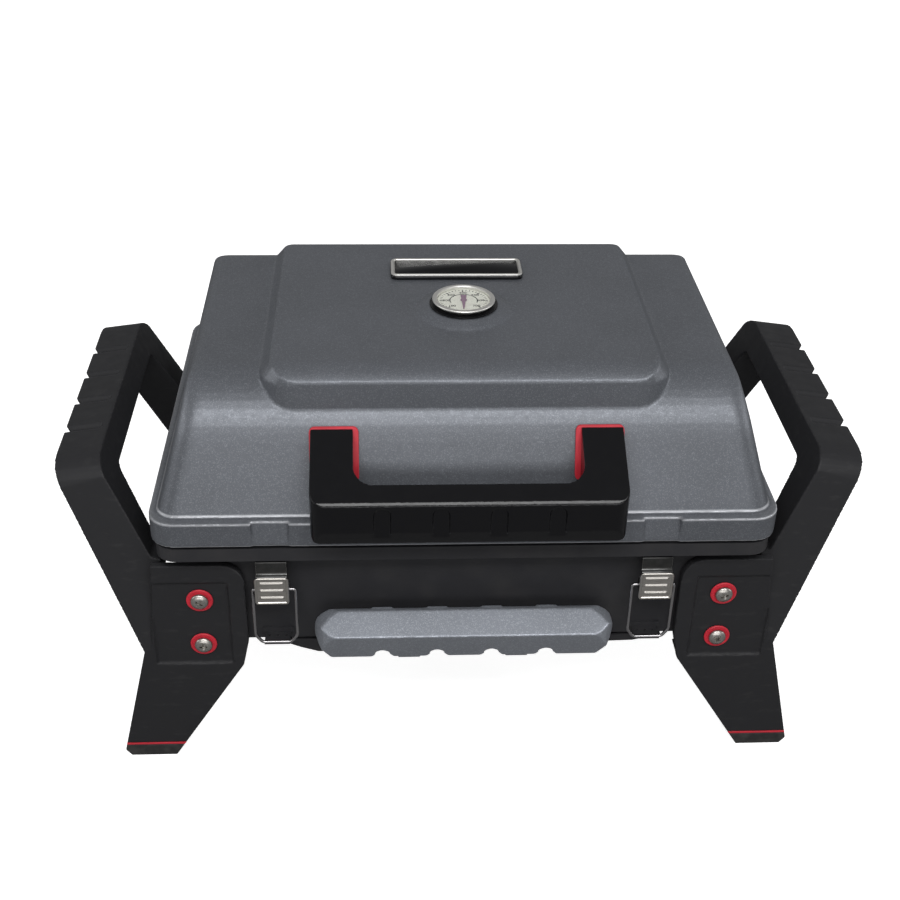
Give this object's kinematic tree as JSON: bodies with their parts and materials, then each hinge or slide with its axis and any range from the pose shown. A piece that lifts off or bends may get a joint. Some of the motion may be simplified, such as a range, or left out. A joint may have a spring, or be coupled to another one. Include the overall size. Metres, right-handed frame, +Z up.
{
  "type": "portable tabletop grill",
  "caption": "Portable tabletop gas grill: domed hinged lid with front handle and gauge, firebox, draw latches, pull-out grease tray and side frames joining legs and carrying grips.",
  "frame": {"origin": "on the resting plane, under the middle of the outer box", "axes": "+X along the long side to the cook's right, +Y to the back where the lid hinge is, +Z up"},
  "size_m": [0.6096, 0.368, 0.3491],
  "materials": {
    "slate_casting": "slate metallic textured paint over a casting",
    "black_casting": "satin black paint over a casting",
    "moulded_black": "fine-grained matt moulding",
    "gloss_black": "semi-gloss moulding",
    "foot_rubber": "matt rubber",
    "red_rubber": "satin red",
    "nickel": "satin nickel plate",
    "chrome": "bright chrome",
    "brushed_steel": "brushed",
    "regulator_metal": "cast, unpainted",
    "grate_enamel": "black porcelain enamel",
    "brass": "machined",
    "ceramic": "glazed ceramic",
    "dial_face": "printed cream dial",
    "pointer_paint": "painted",
    "gauge_glass": "clear flat glass"
  },
  "bodies": {
    "base": {"burner_tube": "brushed_steel", "cooking_grate": "grate_enamel", "emitter_plate": "brushed_steel", "firebox": "black_casting", "foot_insert_front_left": "red_rubber", "foot_insert_front_right": "red_rubber", "foot_insert_rear_left": "red_rubber", "foot_insert_rear_right": "red_rubber", "foot_pad_front_left": "foot_rubber", "foot_pad_front_right": "foot_rubber", "foot_pad_rear_left": "foot_rubber", "foot_pad_rear_right": "foot_rubber", "hinge_pin_left": "brushed_steel", "hinge_pin_right": "brushed_steel", "igniter_electrode": "ceramic", "igniter_housing": "moulded_black", "ignition_wire": "moulded_black", "latch_bracket_left": "black_casting", "latch_bracket_right": "black_casting", "leg_bolt_front_left_lower": "nickel", "leg_bolt_front_left_upper": "nickel", "leg_bolt_front_right_lower": "nickel", "leg_bolt_front_right_upper": "nickel", "leg_bolt_rear_left_lower": "nickel", "leg_bolt_rear_left_upper": "nickel", "leg_bolt_rear_right_lower": "nickel", "leg_bolt_rear_right_upper": "nickel", "leg_washer_front_left_lower": "red_rubber", "leg_washer_front_left_upper": "red_rubber", "leg_washer_front_right_lower": "red_rubber", "leg_washer_front_right_upper": "red_rubber", "leg_washer_rear_left_lower": "red_rubber", "leg_washer_rear_left_upper": "red_rubber", "leg_washer_rear_right_lower": "red_rubber", "leg_washer_rear_right_upper": "red_rubber", "regulator": "regulator_metal", "side_frame_left": "moulded_black", "side_frame_right": "moulded_black", "valve_body": "brass"},
    "lid": {"badge_plate": "brushed_steel", "gauge_dial": "dial_face", "gauge_housing": "chrome", "gauge_lens": "gauge_glass", "gauge_ring": "gloss_black", "handle_gasket_left": "red_rubber", "handle_gasket_right": "red_rubber", "handle_screw_left": "nickel", "handle_screw_right": "nickel", "lid": "slate_casting", "lid_handle": "gloss_black"},
    "gauge_pointer": {"gauge_pointer": "pointer_paint"},
    "bail_left": {"latch_bail_left": "chrome"},
    "bail_right": {"latch_bail_right": "chrome"},
    "lever_left": {"latch_lever_left": "nickel"},
    "lever_right": {"latch_lever_right": "nickel"},
    "grease_tray": {"grease_tray": "black_casting", "tray_handle": "slate_casting"},
    "control_knob": {"control_knob": "moulded_black"},
    "igniter_button": {"igniter_button": "red_rubber"}
  },
  "joints": [
    {"name": "lid_hinge", "type": "hinge", "parent": "base", "child": "lid", "pos_m": [0, 0.177, 0.2175], "axis": [-1, 0, 0], "range_deg": [0, 95]},
    {"name": "gauge_pointer_turn", "type": "hinge", "parent": "lid", "child": "gauge_pointer", "pos_m": [0.0022, -0.016, 0.3465], "axis": [0, 0, -1], "range_deg": [0, 270]},
    {"name": "tray_slide", "type": "slide", "parent": "base", "child": "grease_tray", "axis": [0, -1, 0], "range_m": [0, 0.15]},
    {"name": "knob_turn", "type": "hinge", "parent": "base", "child": "control_knob", "pos_m": [0.2265, 0.0045, 0.163], "axis": [0, 0, 1], "range_deg": [0, 130]},
    {"name": "igniter_press", "type": "slide", "parent": "base", "child": "igniter_button", "axis": [-1, 0, 0], "range_m": [0, 0.004]},
    {"name": "bail_left_swing", "type": "hinge", "parent": "base", "child": "bail_left", "pos_m": [-0.1436, -0.151, 0.1224], "axis": [1, 0, 0], "range_deg": [0, 70]},
    {"name": "lever_left_flip", "type": "hinge", "parent": "bail_left", "child": "lever_left", "pos_m": [-0.1436, -0.151, 0.1735], "axis": [1, 0, 0], "range_deg": [-10, 45]},
    {"name": "bail_right_swing", "type": "hinge", "parent": "base", "child": "bail_right", "pos_m": [0.1436, -0.151, 0.1224], "axis": [1, 0, 0], "range_deg": [0, 70]},
    {"name": "lever_right_flip", "type": "hinge", "parent": "bail_right", "child": "lever_right", "pos_m": [0.1436, -0.151, 0.1735], "axis": [1, 0, 0], "range_deg": [-10, 45]}
  ]
}
